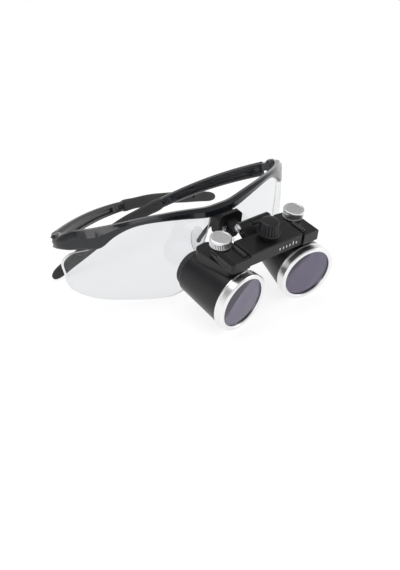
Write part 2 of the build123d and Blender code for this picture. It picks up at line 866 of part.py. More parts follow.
for name, side in sides.items():
    seat = placed(
        bar_plane,
        (side * bracket_screw_spacing / 2, bracket_y - 0.02, bracket_screw_z),
        z_dir=(0, -1, 0),
    )
    with BuildPart() as bracket_screw:
        screw_outline = [
            (0, -plate_thickness - 3),
            (bracket_screw_radius, -plate_thickness - 3),
            (bracket_screw_radius, 0),
            (bracket_screw_head, 0),
            (bracket_screw_head, bracket_screw_head_height * 0.5),
            (bracket_screw_head * 0.6, bracket_screw_head_height),
            (0, bracket_screw_head_height),
        ]
        revolve(profile(seat, screw_outline), axis=axis_of(seat))
        with BuildSketch(seat.offset(bracket_screw_head_height - 0.45)):
            Rectangle(0.4, 2 * bracket_screw_head, rotation=40 * side)
            Rectangle(0.4, 2 * bracket_screw_head, rotation=40 * side + 90)
        extrude(amount=1, mode=Mode.SUBTRACT)
    export("bracket_screw_" + name, bracket_screw, "bracket_screw")


# Temples: bowed outwards and dropping towards the tip; the sleeve slips over the arm's core
def temple_point(along):
    """Outward bow and drop of the temple's centre line at a distance from its hinge."""
    share = along / temple_chord
    bow = temple_bow * 4 * share * (1 - share) * (1 + temple_bow_skew * (0.5 - share))
    return temple_offset + bow, temple_sink + temple_drop * share**2.06


def temple_section(plane, out, along, thickness, height, inset=0.0):
    """A rounded rectangle square to the centre line, moved towards the inner face by inset."""
    step = 0.5
    bow, drop = temple_point(along)
    bow_on, drop_on = temple_point(along + step)
    across = Vector(-out * (bow_on - bow), step, 0).normalized() * out
    centre_point = Vector(along, out * bow, -drop) - across * inset
    heading = Vector(step, out * (bow_on - bow), drop - drop_on)
    with BuildSketch(placed(plane, centre_point, x_dir=across, z_dir=heading)) as outline:
        RectangleRounded(thickness, height, 0.42 * min(thickness, height))
    return outline.sketch


def arm_share(along):
    return (along - arm_start) / (arm_end - arm_start)


def arm_thickness(along):
    return arm_root_thickness + arm_share(along) * (arm_tip_thickness - arm_root_thickness)


def arm_height(along):
    return arm_root_height + arm_share(along) * (arm_tip_height - arm_root_height)


arm_stations = [arm_start, 12, 24, 36, 48, 57, arm_end]
channel_stations = [10, 18, 28, 38, 48, 55]
core_stations = [arm_end - 1, arm_end + 3, arm_end + 7, arm_end + core_length]
sleeve_start = arm_end + sleeve_gap
tip_shapes = [
    (sleeve_start, 0.84, 1.0),
    (sleeve_start + 4, 1.0, 1.0),
    (82, 1.0, 1.0),
    (95, 1.0, 0.97),
    (108, 1.0, 0.94),
    (120, 0.98, 0.92),
    (temple_chord - 6, 0.9, 0.86),
    (temple_chord - 1.6, 0.66, 0.66),
    (temple_chord, 0.3, 0.3),
]
rivet_at = arm_end - rivet_from_end
for name, side in sides.items():
    fold = folds[name]
    out = -side
    level = ear_plane(name)
    hinge = placed(level, (0, 0, 0), x_dir=(-side * cos(fold), sin(fold), 0))
    rivet_bow, rivet_drop = temple_point(rivet_at)
    rivet_seat = arm_thickness(rivet_at) / 2
    inner = placed(
        hinge,
        (rivet_at, out * (rivet_bow - rivet_seat - rivet_proud), -rivet_drop),
        z_dir=(0, out, 0),
    )

    with BuildPart() as arm:
        loft([temple_section(hinge, out, u, arm_thickness(u), arm_height(u)) for u in arm_stations])
        channel_height_at = [channel_share * arm_height(u) for u in channel_stations]
        channel = [
            temple_section(hinge, out, u, 2 * channel_depth, height, arm_thickness(u) / 2)
            for u, height in zip(channel_stations, channel_height_at)
        ]
        loft(channel, mode=Mode.SUBTRACT)
        loft([temple_section(hinge, out, u, core_thickness, core_height) for u in core_stations])
        with BuildSketch(hinge.offset(-temple_tongue_height / 2)):
            Circle(temple_tongue_radius)
            with Locations((arm_start + 0.9, out * temple_point(arm_start)[0])):
                Rectangle(1.8, 0.86 * arm_root_thickness)
            make_hull()
        extrude(amount=temple_tongue_height)
        with BuildSketch(hinge.offset(-10)):
            Circle(temple_pin_radius + temple_pin_fit)
        extrude(amount=20, mode=Mode.SUBTRACT)
        with BuildSketch(inner):
            Circle(rivet_radius + 0.02)
        extrude(amount=1.2, mode=Mode.SUBTRACT)
    export("temple_arm_" + name, arm, "temple_arm")

    with BuildPart() as rivet:
        with BuildSketch(inner):
            Circle(rivet_radius)
        extrude(amount=1.15)
        fillet(rivet.faces().sort_by(axis_of(inner))[0].edges(), 0.2)
    export("temple_rivet_" + name, rivet, "temple_rivet")

    with BuildPart() as sleeve:
        loft(
            [
                temple_section(hinge, out, u, sleeve_thickness * thick, sleeve_height * high)
                for u, high, thick in tip_shapes
            ]
        )
        bore_thickness = core_thickness + 2 * core_fit
        bore_height = core_height + 2 * core_fit
        bore = [temple_section(hinge, out, u, bore_thickness, bore_height) for u in core_stations]
        loft(bore, mode=Mode.SUBTRACT)
        end_bore = temple_section(hinge, out, core_stations[-1], bore_thickness, bore_height)
        extrude(end_bore, amount=0.3, mode=Mode.SUBTRACT)
        hole_at = temple_chord - sleeve_hole_from_tip
        hole_bow, hole_drop = temple_point(hole_at)
        with BuildSketch(placed(hinge, (hole_at, out * hole_bow - 5, -hole_drop), z_dir=(0, 1, 0))):
            Circle(sleeve_hole_radius)
        extrude(amount=10, mode=Mode.SUBTRACT)
    export("temple_sleeve_" + name, sleeve, "temple_sleeve")
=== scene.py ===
"""Dental loupes on half-rim spectacles: their finishes, a white studio and the camera."""

import json
from math import pi, radians

import bmesh
import bpy
import numpy as np
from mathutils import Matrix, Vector


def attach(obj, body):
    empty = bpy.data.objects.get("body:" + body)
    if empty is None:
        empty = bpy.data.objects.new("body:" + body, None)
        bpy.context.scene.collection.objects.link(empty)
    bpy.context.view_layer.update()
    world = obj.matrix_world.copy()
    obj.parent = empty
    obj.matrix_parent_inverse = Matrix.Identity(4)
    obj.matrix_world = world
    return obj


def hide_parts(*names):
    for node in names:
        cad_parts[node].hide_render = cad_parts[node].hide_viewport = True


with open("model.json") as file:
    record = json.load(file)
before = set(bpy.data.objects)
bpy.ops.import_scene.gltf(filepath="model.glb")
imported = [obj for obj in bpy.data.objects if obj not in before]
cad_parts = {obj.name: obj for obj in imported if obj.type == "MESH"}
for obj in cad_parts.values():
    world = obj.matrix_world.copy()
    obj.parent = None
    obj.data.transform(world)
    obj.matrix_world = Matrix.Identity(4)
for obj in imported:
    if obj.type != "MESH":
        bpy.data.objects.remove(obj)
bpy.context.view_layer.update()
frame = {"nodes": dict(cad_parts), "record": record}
record = frame["record"]
scene = bpy.context.scene

# Camera: it stands in front of the wearer's right side and looks down on the loupes
# through a short telephoto lens.
camera_data = bpy.data.cameras.new("camera")
camera_data.sensor_fit = "VERTICAL"
camera_data.sensor_height = 36
camera_data.lens = 50
camera_data.clip_start = 0.01
camera_data.clip_end = 20
camera = bpy.data.objects.new("camera", camera_data)
camera.location = (-0.21192, -0.29791, 0.19787)
camera.rotation_euler = [radians(angle) for angle in (60.41, 3.33, -37.25)]
scene.collection.objects.link(camera)
scene.camera = camera
scene.view_settings.view_transform = "Standard"


# Surround: white for the camera, for gloss and through glass, and a softer even light for
# everything else. The floor is pale paper that keeps a faint shadow of the loupes.
def shader_node(tree, kind, settings=None, **inputs):
    """A shader node; an input, by name or as i and its number, takes a value or a socket."""
    made = tree.nodes.new("ShaderNode" + kind)
    for key, value in (settings or {}).items():
        setattr(made, key, value)
    for key, value in inputs.items():
        numbered = key[0] == "i" and key[1:].isdigit()
        socket = made.inputs[int(key[1:]) if numbered else key.replace("_", " ")]
        if isinstance(value, bpy.types.NodeSocket):
            tree.links.new(value, socket)
        else:
            socket.default_value = value
    return made


def math_node(tree, operation, *values):
    """The result of one sum, product or comparison of values and sockets."""
    inputs = {"i" + str(index): value for index, value in enumerate(values)}
    return shader_node(tree, "Math", {"operation": operation}, **inputs).outputs[0]


def seen_directly(tree):
    """1 for a ray from the camera, from gloss or through glass, and 0 for any other."""
    path = shader_node(tree, "LightPath")
    direct = math_node(tree, "MAXIMUM", path.outputs["Is Camera Ray"], path.outputs["Is Glossy Ray"])
    return math_node(tree, "MAXIMUM", direct, path.outputs["Is Transmission Ray"])


def new_finish(name, color, roughness, metallic=0.0):
    """A new material, with its node tree and its Principled shader."""
    made = bpy.data.materials.new(name)
    made.use_nodes = True
    principled = made.node_tree.nodes["Principled BSDF"]
    principled.inputs["Base Color"].default_value = (*color, 1)
    principled.inputs["Roughness"].default_value = roughness
    principled.inputs["Metallic"].default_value = metallic
    return made, made.node_tree, principled


ambient_strength = 0.6
ceiling_strength = 0.3
world = bpy.data.worlds.new("studio")
scene.world = world
world.use_nodes = True
tree = world.node_tree
background = tree.nodes["Background"]
background.inputs["Color"].default_value = (1, 1, 1, 1)
seen = seen_directly(tree)
room_strength = math_node(tree, "MULTIPLY_ADD", seen, 1 - ambient_strength, ambient_strength)
direction = shader_node(tree, "TexCoord").outputs["Generated"]
upward = shader_node(tree, "SeparateXYZ", i0=direction).outputs["Z"]
ceiling = shader_node(
    tree, "MapRange", {"interpolation_type": "SMOOTHSTEP"}, Value=upward, From_Min=0.1, From_Max=0.75
).outputs["Result"]
glossy = shader_node(tree, "LightPath").outputs["Is Glossy Ray"]
dimmed = math_node(tree, "MULTIPLY", math_node(tree, "MULTIPLY", ceiling, glossy), 1 - ceiling_strength)
room_strength = math_node(tree, "SUBTRACT", room_strength, dimmed)
tree.links.new(room_strength, background.inputs["Strength"])

lamp_target = Vector((0, 0, 0.02))
lamps = {
    "lamp_top": ((-0.05, 0.10, 0.70), 0.60, 1.5),
    "lamp_front": ((-0.60, -0.30, 0.40), 0.35, 0.8),
    "lamp_right": ((0.55, -0.35, 0.30), 0.30, 0.5),
}
for name, (place, size, power) in lamps.items():
    lamp_data = bpy.data.lights.new(name, "AREA")
    lamp_data.shape = "DISK"
    lamp_data.size = size
    lamp_data.energy = power
    lamp = bpy.data.objects.new(name, lamp_data)
    lamp.location = place
    lamp.rotation_euler = (lamp_target - Vector(place)).to_track_quat("-Z", "Y").to_euler()
    scene.collection.objects.link(lamp)

floor_half = 12.0
floor_glow = 1.17
floor_glow_share = 0.7
floor_paper, tree, principled = new_finish("floor_paper", (0.9, 0.9, 0.9), 0.8)
principled.inputs["Specular IOR Level"].default_value = 0.1
glow = shader_node(tree, "Emission", Color=(1, 1, 1, 1), Strength=floor_glow)
glow_share = math_node(tree, "MULTIPLY", seen_directly(tree), floor_glow_share)
paper = shader_node(tree, "MixShader", i0=glow_share, i1=principled.outputs[0], i2=glow.outputs[0])
tree.links.new(paper.outputs[0], tree.nodes["Material Output"].inputs["Surface"])
floor_mesh = bpy.data.meshes.new("floor")
floor_corners = np.array([(-1, -1, 0), (1, -1, 0), (1, 1, 0), (-1, 1, 0)]) * floor_half
floor_mesh.from_pydata(floor_corners.tolist(), [], [(0, 1, 2, 3)])
floor_mesh.materials.append(floor_paper)
floor = bpy.data.objects.new("floor", floor_mesh)
scene.collection.objects.link(floor)

# Objective rings: the bright rims in front of each telescope, turned from aluminium and
# clear anodised, with a fine groove behind and the lens clamped against an inner lip.
mm = 0.001
sides = {"right": -1, "left": 1}
mounts = {mount["name"]: mount for mount in record["mounts"]}
joints = {joint["name"]: joint for joint in record["behaviour"]["joints"]}
bodies = {node: body for body, names in record["behaviour"]["bodies"].items() for node in names}


def unit(vector):
    return np.asarray(vector) / np.linalg.norm(vector)


def own_place(tree):
    """The shaded point in the piece's own coordinates."""
    return shader_node(tree, "TexCoord").outputs["Object"]


def spread(tree, value, low, high, share=(0.3, 0.7)):
    """A texture's value, moved from its usual share of 0 to 1 to the range low to high."""
    found, wanted = dict(From_Min=share[0], From_Max=share[1]), dict(To_Min=low, To_Max=high)
    return shader_node(tree, "MapRange", Value=value, **found, **wanted).outputs["Result"]


def shade_between(tree, factor, low, high):
    """Base color: from low to high with the factor, where low is a color or a socket."""
    shade = shader_node(tree, "Mix", {"data_type": "RGBA"}, Factor=factor)
    if isinstance(low, bpy.types.NodeSocket):
        tree.links.new(low, shade.inputs[6])
    else:
        shade.inputs[6].default_value = (*low, 1)
    shade.inputs[7].default_value = (*high, 1)
    base = tree.nodes["Principled BSDF"].inputs["Base Color"]
    tree.links.new(shade.outputs[2], base)


def turned_finish(name, origin, axis, color, roughness, metallic, depth, uneven=0.07):
    """A lathe's finish: fine noise on the distance along the axis plus the distance from it.

    Both distances come from the shaded point less the origin, by a dot product and by the
    length of a cross product with the axis; the noise is a bump and moves the roughness.
    """
    made, tree, principled = new_finish(name, color, roughness, metallic)
    place = own_place(tree)
    from_origin = shader_node(tree, "VectorMath", {"operation": "SUBTRACT"}, i0=place, i1=tuple(origin))
    arm = from_origin.outputs[0]
    along = shader_node(tree, "VectorMath", {"operation": "DOT_PRODUCT"}, i0=arm, i1=tuple(axis))
    across = shader_node(tree, "VectorMath", {"operation": "CROSS_PRODUCT"}, i0=arm, i1=tuple(axis))
    away = shader_node(tree, "VectorMath", {"operation": "LENGTH"}, i0=across.outputs[0])
    ring = math_node(tree, "ADD", along.outputs["Value"], away.outputs["Value"])
    lines = shader_node(tree, "TexNoise", {"noise_dimensions": "1D"}, W=ring, Scale=5200.0, Detail=4.0)
    patches = shader_node(tree, "TexNoise", Vector=place, Scale=70.0, Detail=3.0)
    both = math_node(tree, "MULTIPLY_ADD", patches.outputs["Fac"], 0.5, lines.outputs["Fac"])
    rough = spread(tree, both, roughness - uneven, roughness + uneven, share=(0.5, 1.0))
    tree.links.new(rough, principled.inputs["Roughness"])
    bump = shader_node(tree, "Bump", Height=lines.outputs["Fac"], Distance=depth)
    tree.links.new(bump.outputs["Normal"], principled.inputs["Normal"])
    return made, along.outputs["Value"], away.outputs["Value"]


def grid_mesh(name, points, looped):
    """A closed skin over a grid of points, whose columns run round it.

    Each row is joined to the next one, and if it is looped the last to the first; rows
    that are a single point in space become poles when the doubles are merged.
    """
    rows, steps = points.shape[:2]
    row = np.arange(rows if looped else rows - 1)[:, None] * steps
    step = np.arange(steps)[None, :]
    after = (step + 1) % steps
    next_row = (row + steps) % (rows * steps)
    quads = np.stack([row + step, row + after, next_row + after, next_row + step], axis=-1)
    mesh = bpy.data.meshes.new(name)
    mesh.from_pydata(points.reshape(-1, 3).tolist(), [], quads.reshape(-1, 4).tolist())
    work = bmesh.new()
    work.from_mesh(mesh)
    bmesh.ops.remove_doubles(work, verts=work.verts, dist=1e-7)
    bmesh.ops.recalc_face_normals(work, faces=work.faces)
    work.to_mesh(mesh)
    work.free()
    return mesh


def turned_mesh(name, origin, axis, outline, steps=144, wave=None):
    """Surface of revolution, from an outline of (radius, distance along the axis) in mm.

    A point is origin + distance * axis + radius * (cos a * u + sin a * v), where u and v
    are square to the axis and a is its angle; wave(a, radius, distance) scales the radius.
    An outline that starts off the axis is closed on itself; one on it is closed by poles.
    """
    radius, distance = np.array(outline, dtype=float).T[:, :, None]
    angle = np.arange(steps)[None, :] * 2 * pi / steps
    reach = radius * (np.ones_like(angle) if wave is None else wave(angle, radius, distance))
    along = unit(axis)
    u = unit(np.cross(along, (0.3, 0.1, 0.9)))
    v = np.cross(along, u)
    around = np.cos(angle)[..., None] * u + np.sin(angle)[..., None] * v
    points = np.asarray(origin) + mm * (distance[..., None] * along + reach[..., None] * around)
    return grid_mesh(name, points, looped=outline[0][0] > 0)


def dress(node, mesh, finishes, rounding=0.0, sharp=30.0):
    """Puts a mesh in the place of a node, with its sharper edges rounded by so many mm."""
    for finish in finishes:
        mesh.materials.append(finish)
    mesh.shade_smooth()
    mesh.set_sharp_from_angle(angle=radians(sharp))
    piece = bpy.data.objects.new("look_" + node, mesh)
    scene.collection.objects.link(piece)
    if rounding:
        bevel = piece.modifiers.new("rounding", "BEVEL")
        bevel.width = rounding * mm
        bevel.segments = 2
        bevel.limit_method = "ANGLE"
        bevel.angle_limit = radians(sharp)
        bevel.harden_normals = True
    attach(piece, bodies[node])
    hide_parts(node)
    return piece


rim_radius = 14.5
rim_length = 4.85
rim_lip = 1.0
rim_middle = 2.575
aperture_radius = 12.25
seat_radius = 13.2
groove_depth = 0.15
groove_place = 1.25
ring_outline = [
    (aperture_radius + 0.45, 0),
    (rim_radius - 0.5, 0),
    (rim_radius, 0.5),
    (rim_radius, rim_length - groove_place - 0.1),
    (rim_radius - groove_depth, rim_length - groove_place),
    (rim_radius - groove_depth, rim_length - groove_place + 0.2),
    (rim_radius, rim_length - groove_place + 0.3),
    (rim_radius, rim_length - 0.2),
    (rim_radius - 0.2, rim_length),
    (seat_radius, rim_length),
    (seat_radius, rim_lip),
    (aperture_radius, rim_lip),
    (aperture_radius, 0.45),
]
optical_axes = {}
optical_origins = {}
bright_silver = (0.87, 0.87, 0.88)
for name in sides:
    mount = mounts["objective_rim_" + name]
    optical_axes[name] = -unit(mount["axis"])
    optical_origins[name] = np.array(mount["pos_m"]) - rim_middle * mm * optical_axes[name]
    on_axis = (optical_origins[name], optical_axes[name])
    bright_turned = turned_finish("bright_turned_" + name, *on_axis, bright_silver, 0.27, 1.0, 0.000005)[0]
    mesh = turned_mesh("objective_ring", *on_axis, ring_outline)
    dress("objective_ring_" + name, mesh, [bright_turned], rounding=0.1)

# Objective lenses: thick doublets of coated glass, crowned in front and flat behind,
# whose coating turns what they mirror a dark violet.
objective_radius = 13.15
objective_crown = 0.9
objective_edge = 2.2
objective_front = rim_lip + 0.05 - objective_crown * (aperture_radius / objective_radius) ** 2
objective_back = objective_front + objective_crown + objective_edge


def crowned(radius, centre, edge, count=18):
    """Outline of a lens face: distance = centre + (edge - centre) * (r / radius) squared."""
    share = np.linspace(0, 1, count)
    return np.stack([radius * share, centre + (edge - centre) * share**2], axis=1).tolist()


coated_glass, tree, principled = new_finish("coated_glass", (0.75, 0.7, 0.9), 0.01)
principled.inputs["Transmission Weight"].default_value = 1.0
principled.inputs["IOR"].default_value = 1.85
principled.inputs["Specular Tint"].default_value = (0.84, 0.76, 1.0, 1)
dust = shader_node(tree, "TexNoise", Vector=own_place(tree), Scale=160.0, Detail=4.0)
tree.links.new(spread(tree, dust.outputs["Fac"], 0.005, 0.03), principled.inputs["Roughness"])
objective_outline = crowned(objective_radius, objective_front, objective_front + objective_crown)
objective_outline += [(objective_radius, objective_back), (0, objective_back)]
for name in sides:
    mesh = turned_mesh("objective_lens", optical_origins[name], optical_axes[name], objective_outline)
    dress("objective_lens_" + name, mesh, [coated_glass])

# Barrels: long slim cones turned from aluminium and anodised black, with a spigot inside
# the ring, a rounded rear shoulder and a seat for the eyepiece.
barrel_start = rim_length + 0.15
barrel_length = 27.0
barrel_end = barrel_start + barrel_length
barrel_front_radius = 14.0
barrel_rear_radius = 10.5
barrel_wall = 1.3
spigot_bore = seat_radius - 1.1
rear_round = 1.4
eyepiece_radius = 7.9


def barrel_radius(distance):
    """Outside radius: it falls evenly from the front radius to the rear one."""
    share = (distance - barrel_start) / barrel_length
    return barrel_front_radius + share * (barrel_rear_radius - barrel_front_radius)


def rounded_rear(count=7):
    """Outline of a quarter ellipse, from the barrel's side to its rear face."""
    turn = np.linspace(0, pi / 2, count)
    side_radius = barrel_radius(barrel_end - rear_round)
    rear_radius = barrel_rear_radius - rear_round
    out = rear_radius + (side_radius - rear_radius) * np.cos(turn)
    back = barrel_end - rear_round + rear_round * np.sin(turn)
    return np.stack([out, back], axis=1).tolist()


barrel_black = (0.01, 0.01, 0.012)
anodised_gloss = 0.35
shoulder = barrel_end - 3.8
barrel_outline = [
    (spigot_bore, objective_back + 0.05),
    (seat_radius - 0.05, objective_back + 0.05),
    (seat_radius - 0.05, barrel_start),
    (barrel_front_radius - 0.3, barrel_start),
    (barrel_front_radius, barrel_start + 0.3),
]
barrel_outline += rounded_rear()
barrel_outline += [
    (eyepiece_radius + 0.2, barrel_end),
    (eyepiece_radius + 0.2, shoulder),
    (barrel_radius(shoulder) - barrel_wall, shoulder),
    (barrel_radius(barrel_start + 1.5) - barrel_wall, barrel_start + 1.5),
    (spigot_bore, barrel_start + 0.8),
]
for name in sides:
    on_axis = (optical_origins[name], optical_axes[name])
    black_turned = turned_finish("black_turned_" + name, *on_axis, barrel_black, 0.32, 0.0, 0.000006)[0]
    principled = black_turned.node_tree.nodes["Principled BSDF"]
    principled.inputs["Specular IOR Level"].default_value = anodised_gloss
    mesh = turned_mesh("barrel", *on_axis, barrel_outline)
    dress("barrel_" + name, mesh, [black_turned], rounding=0.12)


# Eyecups: soft black rubber rings pressed on behind the barrels, with a lip that keeps
# the eyepiece in; their skin is matt, with a fine grain.
def grained(name, color, roughness, grain=1400.0, depth=0.000012, uneven=0.07, metallic=0.0):
    """A finish with fine grain in its bump, and cloudy patches in its roughness and shade."""
    made, tree, principled = new_finish(name, color, roughness, metallic)
    place = own_place(tree)
    patches = shader_node(tree, "TexNoise", Vector=place, Scale=55.0, Detail=4.0).outputs["Fac"]
    fine = shader_node(tree, "TexNoise", Vector=place, Scale=grain, Detail=5.0, Roughness=0.6)
    rough = spread(tree, patches, roughness - uneven, roughness + uneven)
    tree.links.new(rough, principled.inputs["Roughness"])
    darker, lighter = [0.85 * channel for channel in color], [1.15 * channel for channel in color]
    shade_between(tree, spread(tree, patches, 0.0, 1.0), darker, lighter)
    bump = shader_node(tree, "Bump", Height=fine.outputs["Fac"], Distance=depth)
    tree.links.new(bump.outputs["Normal"], principled.inputs["Normal"])
    return made, tree, principled


eyecup_radius = 9.0
eyecup_end = barrel_end + 3.0
eyepiece_front = barrel_end - 0.9
eyepiece_back = eyepiece_front + 2.6
eyepiece_opening = 7.0
eyecup_outline = [
    (eyepiece_radius + 0.05, barrel_end + 0.05),
    (eyecup_radius - 0.4, barrel_end + 0.05),
    (eyecup_radius, barrel_end + 0.45),
    (eyecup_radius, eyecup_end - 0.8),
    (eyecup_radius - 0.25, eyecup_end - 0.25),
    (eyecup_radius - 0.8, eyecup_end),
    (eyepiece_opening + 0.5, eyecup_end),
    (eyepiece_opening, eyecup_end - 0.4),
    (eyepiece_opening, eyepiece_back + 0.05),
    (eyepiece_radius + 0.05, eyepiece_back + 0.05),
]
soft_rubber, tree, principled = grained("soft_rubber", (0.02, 0.02, 0.022), 0.6, depth=0.00003)
principled.inputs["Sheen Weight"].default_value = 0.1
for name in sides:
    mesh = turned_mesh("eyecup", optical_origins[name], optical_axes[name], eyecup_outline)
    dress("eyecup_" + name, mesh, [soft_rubber], rounding=0.1)

# Eyepiece lenses: small coated lenses, flat in front and hollow towards the eye.
eyepiece_hollow = 0.8
eyepiece_outline = [(0, eyepiece_front), (eyepiece_radius, eyepiece_front)]
eyepiece_outline += crowned(eyepiece_radius, eyepiece_back - eyepiece_hollow, eyepiece_back)[::-1]
for name in sides:
    mesh = turned_mesh("eyepiece_lens", optical_origins[name], optical_axes[name], eyepiece_outline)
    dress("eyepiece_lens_" + name, mesh, [coated_glass])


# Baffles: thin rings inside the barrels, in a flat optical black, that stop stray light.
def joined_copy(node, curved=False):
    """A copy of a node's triangles, joined up; unless it is curved, flat faces are made whole."""
    mesh = bpy.data.meshes.new(node)
    work = bmesh.new()
    work.from_mesh(frame["nodes"][node].data)
    bmesh.ops.remove_doubles(work, verts=work.verts, dist=1e-6)
    if not curved:
        bmesh.ops.dissolve_limit(work, angle_limit=radians(0.1), verts=work.verts, edges=work.edges)
    bmesh.ops.recalc_face_normals(work, faces=work.faces)
    work.to_mesh(mesh)
    work.free()
    return mesh


flat_black = grained("flat_black", (0.004, 0.004, 0.004), 0.8)[0]
for name in sides:
    dress("baffle_" + name, joined_copy("baffle_" + name), [flat_black])

# Thumb screws: turned from aluminium and clear anodised, knurled round the lower part of
# the head, with a plain band above it and a slightly dished top.
thumb_radius = 5.0
thumb_bottom = -0.6
thumb_top = thumb_bottom + 4.2
knurl_bottom = thumb_bottom + 0.35
knurl_top = thumb_bottom + 2.75
knurl_count = 38
knurl_depth = 0.1
stem_radius = 1.5
stem_foot = -5.1


def knurled(angle, radius, distance):
    """Scale of the radius between the band and the foot: rounded crests and narrow valleys."""
    within = (radius > thumb_radius - 0.1) & (distance > knurl_bottom) & (distance < knurl_top)
    valley = 1 - np.abs(np.cos(knurl_count * angle / 2)) ** 0.6
    return 1 - knurl_depth * valley * within


thumb_outline = [
    (0, stem_foot),
    (stem_radius - 0.3, stem_foot),
    (stem_radius, stem_foot + 0.3),
    (stem_radius, thumb_bottom),
    (thumb_radius - 0.5, thumb_bottom),
    (thumb_radius - 0.05, knurl_bottom),
    (thumb_radius - 0.05, knurl_bottom + 0.12),
    (thumb_radius - 0.05, knurl_top - 0.15),
    (thumb_radius - 0.05, knurl_top),
    (thumb_radius, knurl_top + 0.12),
    (thumb_radius, thumb_top - 0.35),
    (thumb_radius - 0.12, thumb_top - 0.1),
    (thumb_radius - 0.35, thumb_top),
    (thumb_radius - 0.75, thumb_top),
    (thumb_radius - 1.0, thumb_top - 0.15),
    (0, thumb_top - 0.15),
]
satin_silver = (0.8, 0.8, 0.81)
# Near black for the knurl valleys: painted shade, not a colour of the metal.
valley_painted_shade = (0.05, 0.05, 0.05)
for name in sides:
    joint = joints["clamp_turn_" + name]
    on_axis = (joint["pos_m"], unit(joint["axis"]))
    satin_turned, along, away = turned_finish(
        "satin_turned_" + name, *on_axis, satin_silver, 0.34, 1.0, 0.000006
    )
    tree = satin_turned.node_tree
    # Painted shade: below the plain band the base colour falls from silver to near black wherever the point
    # lies nearer the axis than the knurl crests, in the valleys and on the stem.
    crest = spread(tree, away, 0.12, 1.0, share=((thumb_radius - 0.42) * mm, (thumb_radius - 0.16) * mm))
    above = math_node(tree, "GREATER_THAN", along, knurl_top * mm)
    crest = math_node(tree, "MAXIMUM", crest, above)
    shade_between(tree, crest, valley_painted_shade, satin_silver)
    mesh = turned_mesh("thumb_screw", *on_axis, thumb_outline, steps=12 * knurl_count, wave=knurled)
    dress("thumb_screw_" + name, mesh, [satin_turned])

# Centre knob: moulded black on a steel stem, with a plain flange, tapering flutes that run
# out below the top edge, and a slightly domed top.
knob_stem_foot = -2.12
neck_start = 0.6
neck_radius = 2.6
flange_start = 2.2
fluting_start = flange_start + 1.0
knob_top = fluting_start + 5.6
flange_radius = 5.4
knob_base_radius = 4.95
knob_middle_radius = 4.65
knob_top_radius = 4.3
flute_count = 20
flute_depth = 0.08


def fluted(angle, radius, distance):
    """Scale of the radius along the flutes: a round valley for each, with broad crests."""
    within = (radius > knob_top_radius - 0.05) & (distance > fluting_start) & (distance < knob_top - 0.5)
    return 1 - flute_depth * np.clip(np.cos(flute_count * angle), 0, 1) ** 1.3 * within


knob_outline = [
    (0, knob_stem_foot),
    (stem_radius, knob_stem_foot),
    (stem_radius, neck_start),
    (neck_radius, neck_start),
    (neck_radius, flange_start),
    (flange_radius - 0.3, flange_start),
    (flange_radius, flange_start + 0.3),
    (flange_radius, fluting_start - 0.2),
    (flange_radius - 0.2, fluting_start),
    (knob_base_radius + 0.05, fluting_start),
    (knob_base_radius, fluting_start + 0.15),
    (knob_middle_radius, fluting_start + 2.6),
    (knob_top_radius + 0.05, knob_top - 0.9),
    (knob_top_radius, knob_top - 0.5),
    (knob_top_radius - 0.2, knob_top - 0.15),
    (knob_top_radius - 0.6, knob_top),
    (2.0, knob_top + 0.08),
    (0, knob_top + 0.1),
]
knob_black, tree, principled = grained("knob_black", (0.01, 0.01, 0.012), 0.34)
principled.inputs["Specular IOR Level"].default_value = anodised_gloss
joint = joints["bar_knob_turn"]
mesh = turned_mesh("centre_knob", joint["pos_m"], joint["axis"], knob_outline, 20 * flute_count, fluted)
dress("centre_knob", mesh, [knob_black])

# Crossbar: milled from aluminium, bead blasted and anodised black, with fine bevels. Its
# front carries a plain printed scale of even ticks, each fifth one longer.
bar_up = unit(joint["axis"])
bar_front = np.cross((1, 0, 0), bar_up)
bar_face = 6.7
scale_start = 1.0
scale_end = 13.5
scale_foot = -4.3
short_tick = 1.3
long_tick = 2.1
tick_spacing = 2.0
tick_width = 0.55
scale_ink = (0.8, 0.8, 0.81)
blasted_scale, tree, principled = grained("blasted_scale", (0.01, 0.01, 0.011), 0.33, grain=3200)
principled.inputs["Specular IOR Level"].default_value = anodised_gloss
from_middle = shader_node(
    tree, "VectorMath", {"operation": "SUBTRACT"}, i0=own_place(tree), i1=tuple(joint["pos_m"])
).outputs[0]


def bar_distance(direction):
    """Distance in mm of the shaded point from the middle of the bar's top, along a direction."""
    dot = shader_node(tree, "VectorMath", {"operation": "DOT_PRODUCT"}, i0=from_middle, i1=tuple(direction))
    return math_node(tree, "MULTIPLY", dot.outputs["Value"], 1 / mm)


def all_of(*conditions):
    """1 where every condition is 1."""
    result = conditions[0]
    for condition in conditions[1:]:
        result = math_node(tree, "MULTIPLY", result, condition)
    return result


along_bar = bar_distance((1, 0, 0))
height = bar_distance(bar_up)
to_tick = math_node(tree, "PINGPONG", along_bar, tick_spacing / 2)
to_five = math_node(tree, "PINGPONG", along_bar, 5 * tick_spacing / 2)
is_tick = math_node(tree, "LESS_THAN", to_tick, tick_width / 2)
is_five = math_node(tree, "LESS_THAN", to_five, tick_spacing / 2)
tick_top = math_node(tree, "MULTIPLY_ADD", is_five, long_tick - short_tick, scale_foot + short_tick)
inked = all_of(
    is_tick,
    math_node(tree, "LESS_THAN", height, tick_top),
    math_node(tree, "GREATER_THAN", height, scale_foot),
    math_node(tree, "GREATER_THAN", along_bar, scale_start),
    math_node(tree, "LESS_THAN", along_bar, scale_end),
    math_node(tree, "GREATER_THAN", bar_distance(bar_front), bar_face),
)
anodised = principled.inputs["Base Color"].links[0].from_socket
shade_between(tree, inked, anodised, scale_ink)
dress("crossbar", joined_copy("crossbar"), [blasted_scale], rounding=0.15)

